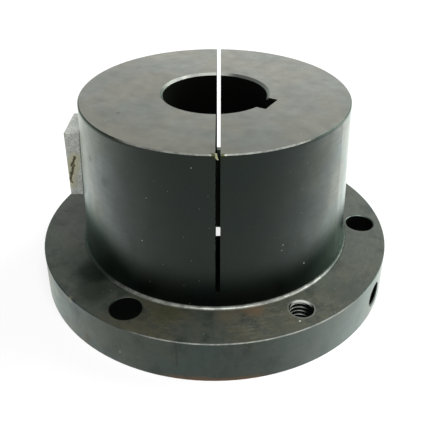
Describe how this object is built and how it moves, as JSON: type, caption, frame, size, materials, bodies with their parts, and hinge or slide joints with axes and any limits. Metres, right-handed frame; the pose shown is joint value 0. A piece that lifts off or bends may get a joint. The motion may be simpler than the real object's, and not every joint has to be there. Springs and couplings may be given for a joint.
{
  "type": "split taper bush",
  "caption": "Flanged split taper bush with a keyed bore, screw holes, a rim set screw hole and an external key on its tapered barrel.",
  "frame": {"origin": "centre of the bore in the plane of the flange's outer face", "axes": "+Z along the bore towards the small end of the taper, +X through the bore keyway and the set screw hole in the rim"},
  "size_m": [0.1344, 0.1344, 0.0731],
  "materials": {
    "bush_body": "machined, black oxide, satin",
    "barrel_key": "bare rough steel with a rusty gouge"
  },
  "bodies": {
    "root": {"bush_body": "bush_body", "barrel_key": "barrel_key"}
  },
  "joints": []
}
